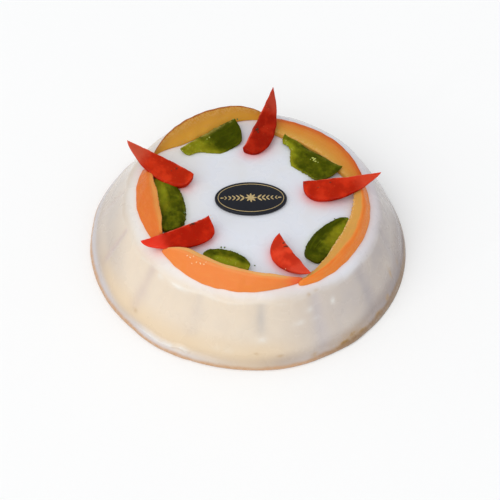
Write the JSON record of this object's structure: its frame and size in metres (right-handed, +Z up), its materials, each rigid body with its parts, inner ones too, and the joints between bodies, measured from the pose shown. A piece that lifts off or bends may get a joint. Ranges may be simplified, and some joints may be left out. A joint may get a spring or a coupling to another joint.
{
  "type": "cassata cake",
  "caption": "Round glazed cassata cake with a sloping panelled side, candied orange peel, red and green candied pear and a bare dark oval plaque on top.",
  "frame": {"origin": "centre of the cake's round base, on the surface that it stands on", "axes": "+Z up through the cake, -Y towards the front of the picture, +X to its right"},
  "size_m": [0.2289, 0.2283, 0.0645],
  "materials": {
    "sponge": "soft sponge",
    "panel": "cream-coloured slab of sponge and almond paste",
    "icing": "glossy, slightly see-through sugar glaze",
    "orange": "moist candied orange peel",
    "green": "wet, translucent candied pear",
    "red": "wet, translucent candied pear",
    "plaque": "smooth dark plaque with an eased edge"
  },
  "bodies": {
    "root": {"cake": "sponge", "side_panel_01": "panel", "side_panel_02": "panel", "side_panel_03": "panel", "side_panel_04": "panel", "side_panel_05": "panel", "side_panel_06": "panel", "side_panel_07": "panel", "side_panel_08": "panel", "side_panel_09": "panel", "side_panel_10": "panel", "side_panel_11": "panel", "side_panel_12": "panel", "side_panel_13": "panel", "side_panel_14": "panel", "side_panel_15": "panel", "icing": "icing", "orange_peel_1": "orange", "orange_peel_2": "orange", "orange_peel_3": "orange", "orange_peel_4": "orange", "orange_peel_5": "orange", "green_pear_1": "green", "green_pear_2": "green", "green_pear_3": "green", "green_pear_4": "green", "green_pear_5": "green", "red_pear_1": "red", "red_pear_2": "red", "red_pear_3": "red", "red_pear_4": "red", "red_pear_5": "red", "plaque": "plaque"}
  },
  "joints": []
}
